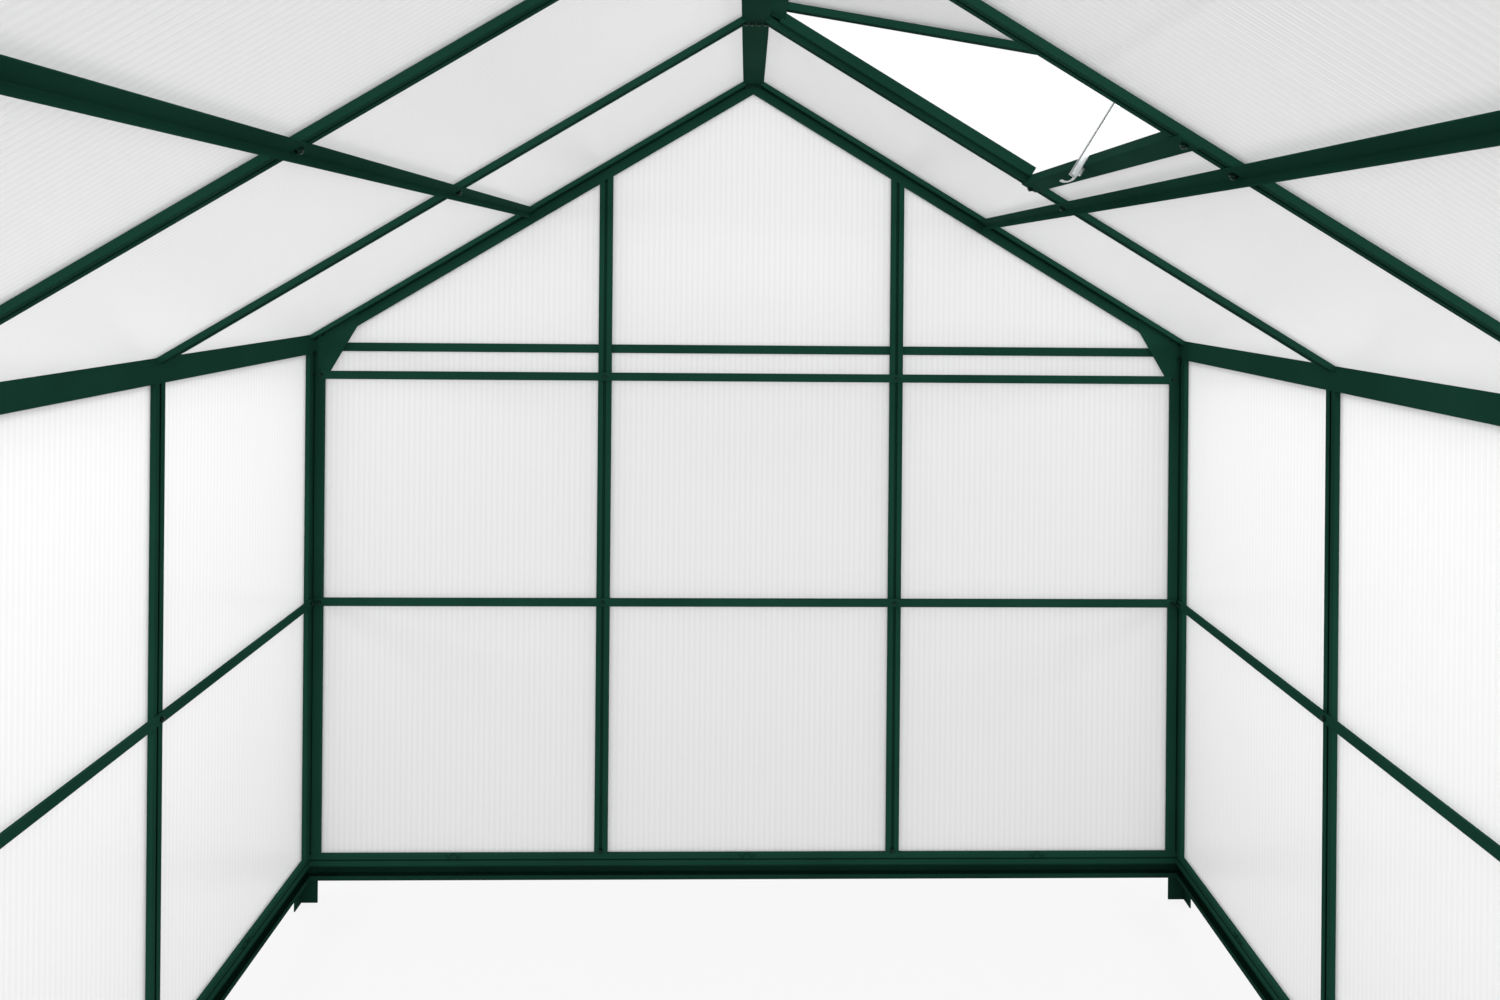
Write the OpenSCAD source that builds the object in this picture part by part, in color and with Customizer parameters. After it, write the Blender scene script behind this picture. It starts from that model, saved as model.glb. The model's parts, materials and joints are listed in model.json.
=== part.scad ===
// Polycarbonate greenhouse: green aluminium glazing bars, twin-wall sheets, roof vent, sliding door.
// Millimetres, +Z up, +Y to the back gable, origin at the centre of the footprint on the ground.

/* [Overall] */
// Spacing of the glazing bars on the walls and the roof
bay = 615; // [560:5:680]
// Number of bays along each side wall
side_bays = 4; // [4:1:6]
// Height of the side walls from the top of the sill to the eave line
wall_h = 1083; // [1000:5:1200]
// Pitch of the roof in degrees
roof_pitch = 31; // [27:0.5:35]

/* [Sheets] */
// Thickness of a twin-wall sheet
sheet_t = 4; // [3.5:0.1:4.4]
// Width of the groove that holds a sheet
groove = 4.4; // [4.2:0.1:5.2]
// Gap between the edge of a sheet and the web beside it
edge_gap = 1; // [0.5:0.1:2]

/* [Glazing bar] */
// Width of the inner face of a bar
bar_face = 27.5; // [24:0.5:32]
// Depth of the inner channel of a bar
bar_depth = 9; // [8:0.25:11]
// Wall thickness of the aluminium profiles
bar_wall = 1.8; // [1.4:0.1:2.2]
// Width of the bolt slot in the inner face
bar_slot = 6; // [4:0.5:8]
// Thickness of the web between two sheets
bar_web = 3; // [2:0.2:4]
// Thickness of the outer lip that holds the sheet
lip_t = 1.6; // [1.2:0.1:2.2]

/* [Corner profile] */
// Length of each leg of the corner posts and gable rafters
leg = 30; // [27:0.5:34]
// Width of the groove in the inner corner
corner_groove = 5; // [3:0.5:7]
// Gap between the two rafters at the mitre under the ridge
mitre_gap = 0.6; // [0.3:0.1:2]
// Gap between a gable frame and the ends of the ridge and eave beams
end_gap = 0.6; // [0.4:0.1:1.5]

/* [Base] */
// Length of the corner stakes below the base
stake_drop = 62; // [30:1:120]
// Width of each leg of a stake
stake_leg = 36; // [28:1:38]
// Thickness of a stake
stake_t = 2.5; // [2:0.1:4]
// Clearance around a stake where it passes the base flange
stake_gap = 0.5; // [0.3:0.1:1.5]
// Height of the steel base channel
base_h = 30; // [24:1:45]
// Distance of the base web outside the sheets
base_out = 22; // [18:0.5:25]
// Reach of the base flanges inside the sheets
base_in = 10; // [9:0.5:14]
// Thickness of the base steel
base_t = 1.5; // [1.2:0.1:2.5]
// Height of the turned-up lip on the lower flange
base_lip = 9.5; // [6:0.5:12]
// Height of the aluminium sill
sill_h = 24; // [21:1:32]
// Height of the sheet seat above the foot of the sill
seat_h = 8; // [6:0.5:11]
// Height of the sill slot above the foot of the sill
sill_slot_z = 10.5; // [8:0.5:13]
// Width of the sill slot
sill_slot = 3; // [2:0.25:5]

/* [Ridge and eaves] */
// Half width of the ridge beam
ridge_half = 21.5; // [19:0.5:22.5]
// Depth of the ridge beam below the apex of the sheets
ridge_drop = 18; // [17.5:0.5:24]
// Distance of the bar ends from the middle of the ridge, under the ridge beam
bar_tip = 15; // [13:0.5:18]
// Half width of the ridge capping
ridge_wing = 46; // [40:1:58]
// Thickness of the ridge capping
wing_t = 1.8; // [1.4:0.1:2.4]
// Overhang of the roof sheets past the side walls
eave_over = 14; // [8:1:20]
// Reach of the gutter outside the side walls
gutter_out = 42; // [34:1:52]
// Depth of the gutter
gutter_h = 18; // [12:1:20]
// Depth of the pocket for the wall sheet in the eave beam
eave_pocket = 20; // [14:1:24]

/* [Rails and purlins] */
// Height of the rails and girts across the bars
rail_h = 17; // [14:0.5:22]
// Depth of a rail, from the bar faces inwards
rail_d = 5; // [4:0.25:6]
// Sheet thickness of a rail
rail_t = 1.5; // [1.2:0.1:2]
// Distance of the rail ends from the corner of the walls
rail_end = 17; // [15.5:0.5:26]
// Height of the mid rails above the ground
mid_z = 646; // [560:1:720]
// Height of the collar rails below the eave line
collar_drop = 79; // [70:1:100]
// Height of the sheet joint strip below the eave line
strip_drop = 21; // [18:0.5:30]
// Height of the sheet joint strip
strip_h = 18; // [14:0.5:22]
// Thickness of the joint strip
strip_t = 1.5; // [1.2:0.1:2]
// Place of the right purlin up the slope, as a share of the slope
purlin_share = 0.468; // [0.4:0.002:0.48]
// Place of the left purlin up the slope, as a share of the slope
left_purlin_share = 0.496; // [0.4:0.002:0.54]
// Width of the purlin leg that lies on the roof bars
purlin_w = 22; // [18:0.5:26]
// Depth of the purlin leg that stands off the roof bars
purlin_d = 12; // [8:0.5:16]
// Thickness of the purlin
purlin_t = 1.8; // [1.4:0.1:2.4]
// Distance of the purlin ends from the gable sheets
purlin_end = 14; // [11:0.5:24]

/* [Eave gussets] */
// Reach of a gusset along the tie from the side wall
gusset_x = 100; // [85:1:120]
// Reach of a gusset below the eave line
gusset_z = 95; // [85:1:115]
// Thickness of a gusset
gusset_t = 2; // [1.5:0.1:2.5]

/* [Roof vent] */
// Number of the vent bay counted from the back gable
vent_bay = 2; // [2:1:3]
// Length of the vent opening from the ridge, as a share of the slope
vent_share = 0.466; // [0.43:0.002:0.47]
// Opening angle of the vent in degrees
vent_open = 22; // [10:1:30]
// Length of the sash from its hinge
sash_l = 540; // [528:1:560]
// Gap between the sash and the middle of the bar beside it
sash_side = 5; // [3:0.5:9]
// Face width of the sash stiles and rails
sash_face = 18; // [15:0.5:24]
// Thickness of the sash
sash_t = 20; // [18:0.5:24]
// Height of the sheet above the underside of the sash
sash_seat = 12; // [10:0.5:13]
// Distance of the hinge from the middle of the ridge
hinge_x = 12; // [9:0.5:16]
// Radius of the hinge bead on the sash
hinge_r = 3; // [2.5:0.25:4]
// Width of the vent sill leg under the bars
vent_sill_w = 26; // [22:0.5:34]
// Thickness of the vent sill
vent_sill_t = 1.8; // [1.4:0.1:2.4]
// Width of the curb strips beside the opening
curb_w = 22.5; // [21:0.5:26]
// Height of the upstand on a curb, from the inner plane of the sheets
curb_h = 16; // [10:0.5:18]
// Thickness of the upstand
curb_t = 1.8; // [1.4:0.1:2.4]
// Width of the stay
stay_w = 12; // [9:0.5:16]
// Depth of the stay channel
stay_d = 8; // [6:0.5:10]
// Thickness of the stay
stay_t = 1.6; // [1.2:0.1:2]
// Length of the straight part of the stay
stay_l = 236; // [230:1:250]
// Radius of the curl at the foot of the stay
stay_curl = 14; // [10:0.5:18]
// Diameter of the holes in the stay
stay_hole = 5; // [4:0.5:6]
// Pitch of the holes in the stay
stay_pitch = 34; // [28:1:40]
// Number of holes in the stay
stay_holes = 5; // [3:1:5]

/* [Sliding door] */
// Lap of the door leaf over the bar on each side
door_lap = 12; // [8:0.5:16]
// Height of the head rail over the doorway above the eave line
head_rise = 271; // [240:1:290]
// Height of the head rail
head_h = 22; // [18:0.5:26]
// Thickness of the door leaf
leaf_t = 16; // [13:0.5:20]
// Face width of the door stiles and rails
leaf_face = 28; // [24:0.5:34]
// Depth of the sheet grooves in the leaf
leaf_groove = 9; // [7:0.5:11]
// Distance of the leaf from the outer face of the front wall
leaf_off = 18.5; // [17.5:0.5:24]
// Gap between the foot of the leaf and its guide
leaf_gap = 4; // [3:0.5:8]
// Height of the track
track_h = 40; // [34:1:50]
// Reach of the track shelf
track_reach = 14; // [12.5:0.5:15]
// Thickness of the track
track_t = 2; // [1.5:0.1:2.5]
// Height of the rail edge on the track
track_lip = 8; // [6:0.5:11]
// Overrun of the track past the leaf
track_over = 10; // [4:0.5:20]
// Radius of the rollers
roller_r = 11; // [9:0.5:13]
// Thickness of the rollers
roller_t = 6; // [4.5:0.5:7]
// Diameter of the roller axles
axle_d = 5; // [4:0.5:6]
// Thickness of the hanger plates
hanger_t = 2; // [1.5:0.1:2.5]
// Width of the hanger plates
hanger_w = 30; // [24:1:40]
// Distance of a hanger from the edge of the leaf
hanger_in = 90; // [70:1:140]
// Width of the strut under the end of the track
strut_w = 20; // [16:0.5:24]
// Thickness of the strut
strut_t = 3; // [2:0.25:4]
// Lap of the strut on the corner post
strut_lap = 110; // [80:1:160]
// Height of the lip on the bottom guide
guide_lip = 14; // [10:0.5:18]
// Thickness of the bottom guide
guide_t = 2; // [1.5:0.1:2.5]
// Height of the bottom guide above the foot of the base channel
guide_z = 8; // [6:0.5:24]

/* [Hidden] */
gable_bays = 3;
// overrun of a cut past the face it opens
over = 1;
// length longer than any piece, for trimming planes
far = 4000;
tp = tan(roof_pitch);
cp = cos(roof_pitch);
sp = sin(roof_pitch);
out = groove + lip_t;
wx = gable_bays * bay / 2;
wy = side_bays * bay / 2;
// outermost face of the door guide from the front sheets
door_front = out + leaf_off + leaf_t + guide_t + guide_t;
yb = wy + (door_front - base_out) / 2;
yf = yb - 2 * wy;
sill_z = stake_drop + base_h;
wall_z = sill_z + sill_h;
eave_z = wall_z + wall_h;
beam_z = eave_z - leg / cp;
slope_l = wx / cp;
// outside edge of the trimming shapes
trim_x = wx + 2 * gutter_out;
ridge_z = eave_z + wx * tp;
ridge_foot = ridge_z - ridge_drop;
sheet_margin = bar_web + edge_gap;
strip_z = eave_z - strip_drop;
collar_z = eave_z - collar_drop;
mullion_x = bay / 2;
face_y = yf - out;
head_z = eave_z + head_rise;
leaf_w = bay + 2 * door_lap;
leaf_x0 = mullion_x - bar_face / 2;
leaf_x1 = leaf_x0 + leaf_w;
guide_top = stake_drop + guide_z;
leaf_z0 = guide_top + leaf_gap;
track_z = head_z - track_t;
leaf_z1 = track_z - leaf_gap;
vent_y = yb - (vent_bay - 1) * bay - bay / 2;
vent_w = slope_l * (1 - vent_share);

// height of a plane parallel to the roof, off outside the sheets' inner plane
function roof_z(x, off) = eave_z + (wx - abs(x)) * tp + off / cp;

module green() { color([0.09, 0.26, 0.19]) children(); }
module steel_green() { color([0.07, 0.2, 0.15]) children(); }
module sheet_white() { color([0.9, 0.92, 0.92, 0.6]) children(); }
module bare_metal() { color([0.75, 0.76, 0.77]) children(); }
module black_nylon() { color([0.08, 0.08, 0.08]) children(); }

// Placing: across the face is local X, outwards local Y, along the bar local Z.
module on_back(x, z) { translate([x, yb, z]) children(); }
module on_right(y, z) { translate([wx, y, z]) rotate([0, 0, -90]) children(); }
module on_roof(y) {
  translate([wx, y, eave_z]) rotate([0, roof_pitch - 90, 0]) rotate([0, 0, -90]) children();
}
module to_front() { translate([0, yb + yf, 0]) mirror([0, 1, 0]) children(); }
module to_left() { mirror([1, 0, 0]) children(); }
module both_sides() { children(); to_left() children(); }
module both_ends() { children(); to_front() children(); }

// Prism along Y over a profile drawn in X and Z.
module along_y(y0, y1) {
  translate([0, y1, 0]) rotate([90, 0, 0]) linear_extrude(y1 - y0) children();
}

// Everything below a plane parallel to the roof.
module under_roof(off) {
  along_y(-far, far)
    polygon([[-trim_x, 0], [trim_x, 0], [trim_x, roof_z(trim_x, off)], [0, roof_z(0, off)],
      [-trim_x, roof_z(trim_x, off)]]);
}

// Section of a glazing bar: slotted channel inside, web between the sheets, lip outside.
module bar_2d() {
  difference() {
    translate([-bar_face / 2, -bar_depth]) square([bar_face, bar_depth]);
    translate([-bar_face / 2 + bar_wall, -bar_depth + bar_wall])
      square([bar_face - 2 * bar_wall, bar_depth - 2 * bar_wall]);
    translate([-bar_slot / 2, -bar_depth - over]) square([bar_slot, bar_wall + 2 * over]);
  }
  translate([-bar_web / 2, -bar_wall]) square([bar_web, bar_wall + out]);
  translate([-bar_face / 2, groove]) square([bar_face, lip_t]);
}

// Section of the corner profile: two legs, a block between the sheets, lips round the corner.
module corner_2d() {
  difference() {
    union() {
      translate([0, -bar_depth]) square([leg, bar_depth]);
      translate([0, -leg]) square([bar_depth, leg]);
    }
    translate([bar_depth, -bar_depth + bar_wall])
      square([leg - bar_depth - bar_wall, bar_depth - 2 * bar_wall]);
    translate([bar_wall, -leg + bar_wall])
      square([bar_depth - 2 * bar_wall, leg - bar_depth - bar_wall]);
    translate([bar_depth - corner_groove / 2, -bar_depth - corner_groove / 2])
      square(corner_groove);
  }
  translate([-groove, -bar_web]) square(groove + bar_web);
  translate([-out, groove]) square([out + leg, lip_t]);
  translate([-out, -leg]) square([lip_t, out + leg]);
}

// Section of the sill: slotted box inside, sheet seat and lip outside; X inwards, Y up.
module sill_2d() {
  difference() {
    square([bar_depth, sill_h]);
    translate([bar_wall, bar_wall]) square([bar_depth - 2 * bar_wall, sill_h - 2 * bar_wall]);
    translate([bar_depth - bar_wall - over, sill_slot_z]) square([bar_wall + 2 * over, sill_slot]);
  }
  translate([-out, seat_h - bar_wall]) square([out + over, bar_wall]);
  translate([-out, seat_h - bar_wall]) square([lip_t, sill_h - seat_h + bar_wall]);
}

// Section of the base channel, open to the inside; X inwards, Y up.
module base_2d() {
  translate([-base_out, 0]) square([base_t, base_h]);
  translate([-base_out, 0]) square([base_out + base_in, base_t]);
  translate([-base_out, base_h - base_t]) square([base_out + base_in, base_t]);
  translate([base_in - base_t, 0]) square([base_t, base_lip]);
}

// Section of a rail: a flat face inside, two flanges back to the bars; X inwards, Y up.
module rail_2d() {
  translate([rail_d - rail_t, -rail_h / 2]) square([rail_t, rail_h]);
  translate([0, -rail_h / 2]) square([rail_d, rail_t]);
  translate([0, rail_h / 2 - rail_t]) square([rail_d, rail_t]);
}

// Plan of one mitred length of base along the right wall or the back wall.
module side_plan() {
  reach = wy;
  polygon([[wx + base_out, yb + base_out], [wx - reach, yb - reach], [wx - reach, yf + reach],
    [wx + base_out, yf - base_out]]);
}
module back_plan() {
  reach = wx;
  polygon([[wx + base_out, yb + base_out], [wx - reach, yb - reach], [reach - wx, yb - reach],
    [-wx - base_out, yb + base_out]]);
}

module side_run(z) {
  intersection() {
    translate([wx, 0, z]) along_y(yf - base_out, yb + base_out) mirror([1, 0]) children();
    linear_extrude(far) side_plan();
  }
}
module back_run(z) {
  intersection() {
    translate([-wx - base_out, yb, z]) rotate([0, 0, -90]) translate([0, 2 * (wx + base_out), 0])
      rotate([90, 0, 0]) linear_extrude(2 * (wx + base_out)) children();
    linear_extrude(far) back_plan();
  }
}

// Stake in the back right corner, inside the base web.
module stake(gap) {
  reach = base_out - base_t;
  translate([wx + reach + gap - stake_leg - 2 * gap, yb + reach + gap - stake_t - 2 * gap, 0])
    cube([stake_leg + 2 * gap, stake_t + 2 * gap, stake_drop + base_h - base_t]);
  translate([wx + reach + gap - stake_t - 2 * gap, yb + reach + gap - stake_leg - 2 * gap, 0])
    cube([stake_t + 2 * gap, stake_leg + 2 * gap, stake_drop + base_h - base_t]);
}
module stakes(gap) { both_ends() both_sides() stake(gap); }

// Slots in the lower flange for the stakes; the web stays whole.
module stake_slots() {
  intersection() {
    stakes(stake_gap);
    translate([-wx - base_out + base_t, yf - base_out + base_t, 0])
      cube([2 * (wx + base_out - base_t), yb - yf + 2 * (base_out - base_t), far]);
  }
}

module base_channels_side() {
  steel_green() difference() {
    both_sides() side_run(stake_drop) base_2d();
    stake_slots();
  }
}
module base_channels_gable() {
  steel_green() difference() {
    both_ends() back_run(stake_drop) base_2d();
    stake_slots();
  }
}
module corner_stakes() { steel_green() stakes(0); }
module sills_side() { green() both_sides() side_run(sill_z) sill_2d(); }
module sills_gable() { green() both_ends() back_run(sill_z) sill_2d(); }

// Post in the back left corner: its side leg stops under the eave beam.
module post() {
  difference() {
    intersection() {
      translate([-wx, yb, wall_z]) linear_extrude(far) corner_2d();
      under_roof(-leg);
    }
    translate([-wx - far / 2, yb - bar_depth - far, beam_z]) cube(far);
  }
}
module corner_posts() { green() both_ends() both_sides() post(); }

module gable_bar(x) {
  intersection() {
    on_back(x, wall_z) linear_extrude(far) bar_2d();
    under_roof(-leg);
  }
}
module back_mullions() { green() both_sides() gable_bar(mullion_x); }
module door_jambs() { green() to_front() both_sides() gable_bar(mullion_x); }

module studs() {
  for (k = [1 : side_bays - 1])
    on_right(yb - k * bay, wall_z) linear_extrude(beam_z - wall_z) bar_2d();
}
module right_studs() { green() studs(); }
module left_studs() { green() to_left() studs(); }

// Rafter on the right of the back gable, mitred at the ridge, notched for ridge and eave beams.
module rafter() {
  difference() {
    on_roof(yb) translate([0, 0, -leg - eave_over]) linear_extrude(slope_l + 2 * (leg + eave_over))
      corner_2d();
    translate([mitre_gap / 2 - far, yb - far / 2, 0]) cube(far);
    translate([ridge_half - far, yb - bar_depth - end_gap / 2 - far, ridge_foot]) cube(far);
    translate([bar_tip - far, yb - bar_depth - end_gap / 2 - far, 0]) cube(far);
    translate([wx + eave_over, yb - far / 2, 0]) cube(far);
    along_y(yb - far, yb - bar_depth - end_gap / 2)
      polygon([[wx - bar_depth, 0], [trim_x, 0], [trim_x, roof_z(trim_x, groove / 2)],
        [wx - bar_depth, roof_z(wx - bar_depth, groove / 2)]]);
  }
}
module back_rafters() { green() both_sides() rafter(); }
module front_rafters() { green() to_front() both_sides() rafter(); }

module ridge_box_2d() {
  polygon([[-ridge_half, -ridge_drop], [ridge_half, -ridge_drop], [ridge_half, -ridge_half * tp],
    [0, 0], [-ridge_half, -ridge_half * tp]]);
}
module ridge_hollow_2d() {
  in_half = ridge_half - bar_wall;
  top_in = bar_wall / cp;
  polygon([[-in_half, -ridge_drop + bar_wall], [in_half, -ridge_drop + bar_wall],
    [in_half, -in_half * tp - top_in], [0, -top_in], [-in_half, -in_half * tp - top_in]]);
}
module ridge_wing_2d() {
  low = out / cp;
  high = (out + wing_t) / cp;
  polygon([[0, low], [ridge_wing, low - ridge_wing * tp], [ridge_wing, high - ridge_wing * tp],
    [0, high], [-ridge_wing, high - ridge_wing * tp], [-ridge_wing, low - ridge_wing * tp]]);
}
module ridge_beam() {
  green() translate([0, 0, ridge_z]) {
    along_y(yf + bar_depth + end_gap, yb - bar_depth - end_gap) {
      difference() {
        ridge_box_2d();
        ridge_hollow_2d();
      }
      translate([-bar_web / 2, -bar_wall]) square([bar_web, bar_wall + out / cp]);
    }
    along_y(yf - out, yb + out) ridge_wing_2d();
  }
}

// Section of the eave beam; X inwards from the sheets, Y up from the eave line.
module eave_2d() {
  foot = beam_z - eave_z;
  difference() {
    polygon([[0, foot], [bar_depth, foot], [bar_depth, bar_depth * tp], [0, 0]]);
    polygon([[bar_wall, foot + bar_wall], [bar_depth - bar_wall, foot + bar_wall],
      [bar_depth - bar_wall, (bar_depth - bar_wall) * tp - bar_wall / cp],
      [bar_wall, bar_wall * tp - bar_wall / cp]]);
  }
  polygon([[-out, foot + eave_pocket], [over, foot + eave_pocket], [0, 0], [-out, -out * tp]]);
  translate([-out, foot]) square([lip_t, eave_pocket + over]);
  translate([-gutter_out, foot]) square([gutter_out - groove, bar_wall]);
  translate([-gutter_out, foot]) square([bar_wall, gutter_h]);
}
module eave_beam() {
  translate([wx, 0, eave_z]) along_y(yf + bar_depth + end_gap, yb - bar_depth - end_gap)
    mirror([1, 0]) eave_2d();
}
module eave_beam_right() { green() eave_beam(); }
module eave_beam_left() { green() to_left() eave_beam(); }

// Roof bar: its channel stops at the eave beam and is notched under the ridge beam, web and lip run on.
module roof_bar(y) {
  difference() {
    on_roof(y) translate([0, 0, -leg - eave_over]) linear_extrude(slope_l + 2 * (leg + eave_over))
      bar_2d();
    translate([wx + eave_over, y - far / 2, 0]) cube(far);
    translate([bar_web / 2 + edge_gap - far, y - far / 2, 0]) cube(far);
    along_y(y - far, y + far)
      polygon([[wx - bar_depth, 0], [trim_x, 0], [trim_x, roof_z(trim_x, 0)],
        [wx - bar_depth, roof_z(wx - bar_depth, 0)]]);
    along_y(y - far, y + far)
      polygon([[ridge_half, ridge_foot], [ridge_half, roof_z(ridge_half, 0)], [0, roof_z(0, 0)],
        [0, 0], [bar_tip, 0], [bar_tip, ridge_foot]]);
  }
}
module roof_bars() { for (k = [1 : side_bays - 1]) roof_bar(yb - k * bay); }
module right_roof_bars() { green() roof_bars(); }
module left_roof_bars() { green() to_left() roof_bars(); }

// Purlin under the right roof bars at a share of the slope.
module purlin(share) {
  run = yb - yf - 2 * purlin_end;
  low = slope_l * share - purlin_w / 2;
  on_roof(yb - purlin_end) {
    translate([0, -bar_depth - purlin_t, low]) cube([run, purlin_t, purlin_w]);
    translate([0, -bar_depth - purlin_d, low]) cube([run, purlin_d, purlin_t]);
  }
}
module roof_purlins() {
  green() {
    purlin(purlin_share);
    to_left() purlin(left_purlin_share);
  }
}

module side_girts() {
  green() both_sides() translate([wx - bar_depth, 0, mid_z])
    along_y(yf + rail_end, yb - rail_end) mirror([1, 0]) rail_2d();
}

// Rail across the back bars from x0 to x1.
module back_rail(x0, x1, z) {
  translate([x0, yb - bar_depth, z]) rotate([0, 0, -90]) translate([0, x1 - x0, 0])
    rotate([90, 0, 0]) linear_extrude(x1 - x0) rail_2d();
}
module back_rails() {
  reach = wx - rail_end;
  green() {
    back_rail(-reach, reach, mid_z);
    difference() {
      back_rail(-reach, reach, collar_z);
      gussets(gusset_t);
    }
  }
}
module front_rails() {
  reach = wx - rail_end;
  start = mullion_x - bar_face / 2;
  green() to_front() both_sides() {
    back_rail(start, reach, mid_z);
    difference() {
      back_rail(start, reach, collar_z);
      gussets(gusset_t);
    }
  }
}

// Sheet joint strip between two bars of the back gable.
module joint_strip(x0, x1) {
  intersection() {
    translate([x0, yb, strip_z]) {
      translate([0, -strip_t, -strip_h / 2]) cube([x1 - x0, strip_t, strip_h]);
      translate([0, groove, -strip_h / 2]) cube([x1 - x0, lip_t, strip_h]);
      translate([0, -strip_t, -strip_t / 2]) cube([x1 - x0, strip_t + out, strip_t]);
    }
    under_roof(-leg);
  }
}
module outer_strip() { joint_strip(mullion_x + bar_face / 2, wx - leg); }
module back_joint_strips() {
  green() {
    both_sides() outer_strip();
    joint_strip(-mullion_x + bar_face / 2, mullion_x - bar_face / 2);
  }
}
module front_joint_strips() { green() to_front() both_sides() outer_strip(); }

// Head rail over the doorway, with a groove on top for the gable sheet.
module door_head() {
  half = mullion_x - bar_face / 2;
  green() difference() {
    translate([-half, yf - out, head_z]) cube([2 * half, out + bar_depth, head_h]);
    translate([-half - over, yf - groove, head_z + head_h / 2])
      cube([2 * half + 2 * over, groove, head_h]);
    translate([-half - over, yf + bar_wall, head_z + bar_wall])
      cube([2 * half + 2 * over, bar_depth - 2 * bar_wall, head_h - 2 * bar_wall]);
  }
}

// Gusset over the joint of post and rafter, at the back right.
module gusset(t) {
  edge = wx - rail_end;
  top_x = wx - gusset_x;
  along_y(yb - bar_depth - t, yb - bar_depth)
    polygon([[edge, eave_z - gusset_z], [edge, roof_z(edge, -bar_depth)],
      [top_x, roof_z(top_x, -bar_depth)], [top_x, roof_z(top_x, -leg)],
      [wx - leg, eave_z - gusset_z]]);
}
module gussets(t) { both_sides() gusset(t); }
module eave_gussets() { green() both_ends() gussets(gusset_t); }

// Sheets of the back gable between two lines x0 and x1.
sheet_top = strip_z - strip_t / 2 - edge_gap;
sheet_foot = sill_z + seat_h;
module lower_sheet(x0, x1) {
  translate([x0, yb, sheet_foot]) cube([x1 - x0, sheet_t, sheet_top - sheet_foot]);
}
module upper_sheet(x0, x1, foot) {
  intersection() {
    translate([x0, yb, foot]) cube([x1 - x0, sheet_t, far]);
    under_roof(-sheet_margin);
  }
}
bay_in = mullion_x + sheet_margin;
bay_out = wx - sheet_margin;
mid_half = mullion_x - sheet_margin;
upper_foot = strip_z + strip_t / 2 + edge_gap;
module back_wall_sheets() {
  sheet_white() {
    both_sides() lower_sheet(bay_in, bay_out);
    lower_sheet(-mid_half, mid_half);
  }
}
module back_gable_sheets() {
  sheet_white() {
    both_sides() upper_sheet(bay_in, bay_out, upper_foot);
    upper_sheet(-mid_half, mid_half, upper_foot);
  }
}
module front_wall_sheets() { sheet_white() to_front() both_sides() lower_sheet(bay_in, bay_out); }
module front_gable_sheets() {
  sheet_white() to_front() {
    both_sides() upper_sheet(bay_in, bay_out, upper_foot);
    upper_sheet(-mid_half, mid_half, head_z + head_h / 2);
  }
}

module side_sheets() {
  top = beam_z + eave_pocket - edge_gap;
  for (k = [0 : side_bays - 1])
    on_right(yb - k * bay - sheet_margin, sheet_foot)
      cube([bay - 2 * sheet_margin, sheet_t, top - sheet_foot]);
}
module right_wall_sheets() { sheet_white() side_sheets(); }
module left_wall_sheets() { sheet_white() to_left() side_sheets(); }

// Roof sheet of bay k from the eave up to a length w on the slope.
module roof_sheet(k, w) {
  low = -eave_over / cp;
  on_roof(yb - k * bay - sheet_margin) translate([0, 0, low])
    cube([bay - 2 * sheet_margin, sheet_t, w - low]);
}
full_w = slope_l - (bar_web / 2 + edge_gap) / cp;
module left_roof_sheets() {
  sheet_white() to_left() for (k = [0 : side_bays - 1]) roof_sheet(k, full_w);
}
module right_roof_sheets() {
  sheet_white() for (k = [0 : side_bays - 1])
    roof_sheet(k, k == vent_bay - 1 ? vent_w - edge_gap : full_w);
}

// Sill of the vent opening: one leg under the bars, one up behind the sheet.
module vent_sill() {
  inner = bay - bar_face;
  green() on_roof(vent_y) {
    translate([-bay / 2 - bar_face / 2, -bar_depth - vent_sill_t, vent_w + vent_sill_t - vent_sill_w])
      cube([bay + bar_face, vent_sill_t, vent_sill_w]);
    translate([-inner / 2, -bar_depth - vent_sill_t, vent_w])
      cube([inner, bar_depth + vent_sill_t + groove, vent_sill_t]);
  }
}
// Curb on each side of the opening: a strip in the sheet groove and an upstand inside the sash.
module vent_curbs() {
  start = vent_w + vent_sill_t;
  side = bay / 2 - bar_web / 2 - edge_gap;
  run = slope_l - start - ridge_half / cp - sash_face;
  green() on_roof(vent_y) for (m = [0, 1]) mirror([m, 0, 0]) translate([side - curb_w, 0, start]) {
    cube([curb_w, groove, run]);
    cube([curb_t, curb_h, run]);
  }
}

// Sash: hinge line at the origin, X along the ridge, Y up off the sash, Z back to the ridge.
module on_sash() {
  lift = (out + wing_t + hinge_r) / cp;
  translate([hinge_x, vent_y, ridge_z - hinge_x * tp + lift])
    rotate([0, roof_pitch - vent_open - 90, 0]) rotate([0, 0, -90]) children();
}
sash_half = bay / 2 - sash_side;
sash_low = -hinge_r;
sash_groove_y = sash_low + sash_seat - (groove - sheet_t) / 2;
module sash_groove(len) {
  translate([0, sash_groove_y, 0]) cube([sash_face / 2 + over, groove, len]);
}
module vent_sash_stiles() {
  green() on_sash() for (m = [0, 1]) mirror([m, 0, 0])
    translate([-sash_half, 0, -sash_l]) difference() {
      translate([0, sash_low, 0]) cube([sash_face, sash_t, sash_l - hinge_r]);
      translate([sash_face / 2, 0, -over]) sash_groove(sash_l + 2 * over);
    }
}
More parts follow.
